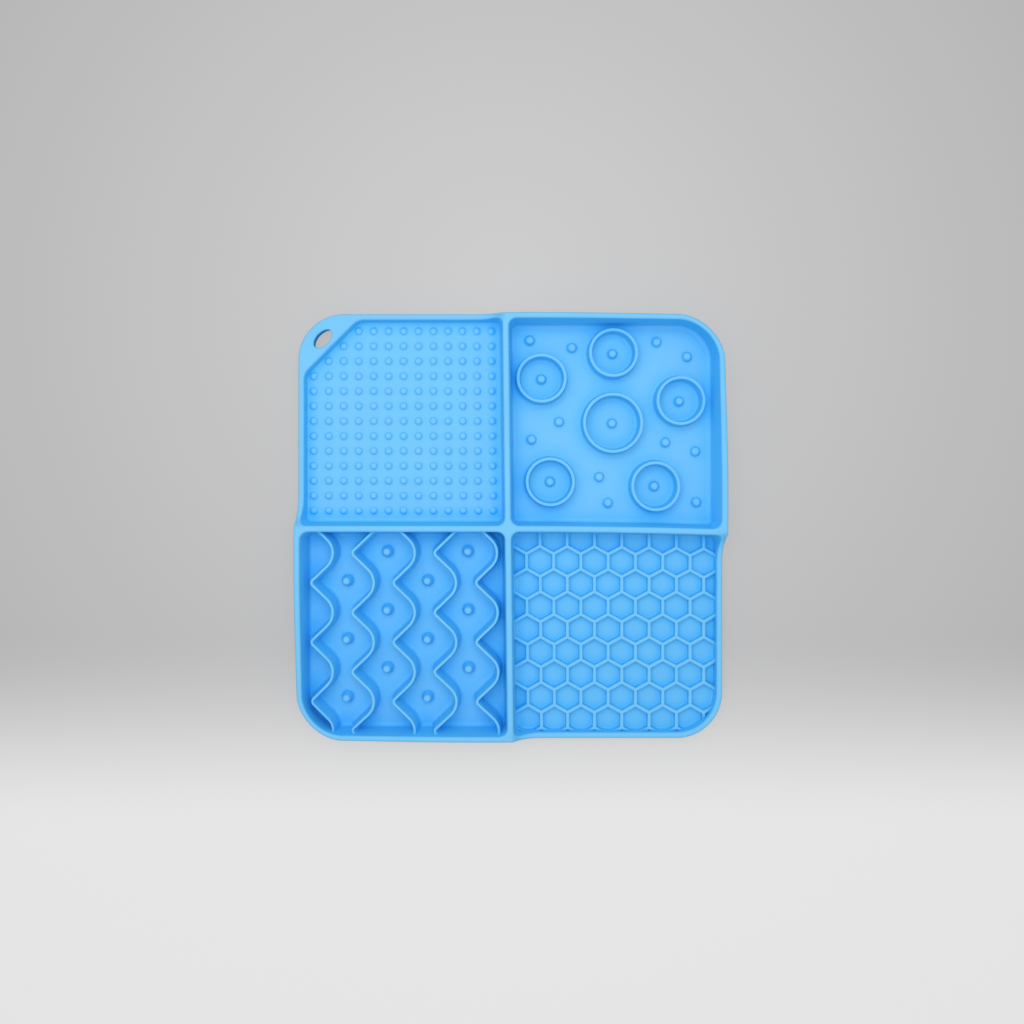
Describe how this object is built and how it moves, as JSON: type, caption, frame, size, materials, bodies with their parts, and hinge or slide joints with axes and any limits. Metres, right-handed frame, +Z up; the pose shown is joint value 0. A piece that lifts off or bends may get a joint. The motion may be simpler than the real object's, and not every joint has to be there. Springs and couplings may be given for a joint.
{
  "type": "lick mat",
  "caption": "Square silicone lick mat in quarters: dots, upright rings, zigzag ribs and a honeycomb net, with a raised cross, stepped rims and a hanging hole.",
  "frame": {"origin": "middle of the underside, on the surface that the mat lies on", "axes": "+Z up out of the licking face, +Y towards the edge with the dots and the rings, +X towards the edge with the rings and the honeycomb"},
  "size_m": [0.2, 0.2, 0.015],
  "materials": {
    "silicone": "matt moulded silicone"
  },
  "bodies": {
    "root": {"base_sheet": "silicone", "rim_dots_west": "silicone", "rim_dots_north": "silicone", "hang_tab": "silicone", "rim_rings": "silicone", "rim_waves": "silicone", "rim_honeycomb": "silicone", "divider_north": "silicone", "divider_south": "silicone", "divider_west": "silicone", "divider_east": "silicone", "centre_boss": "silicone", "dot_nubs": "silicone", "ring_large": "silicone", "ring_top": "silicone", "ring_left": "silicone", "ring_right": "silicone", "ring_lower_left": "silicone", "ring_lower_right": "silicone", "ring_centre_nubs": "silicone", "scatter_nubs": "silicone", "wave_rib_1": "silicone", "wave_rib_2": "silicone", "wave_rib_3": "silicone", "wave_rib_4": "silicone", "wave_rib_5": "silicone", "wave_posts": "silicone", "honeycomb_lattice": "silicone"}
  },
  "joints": []
}
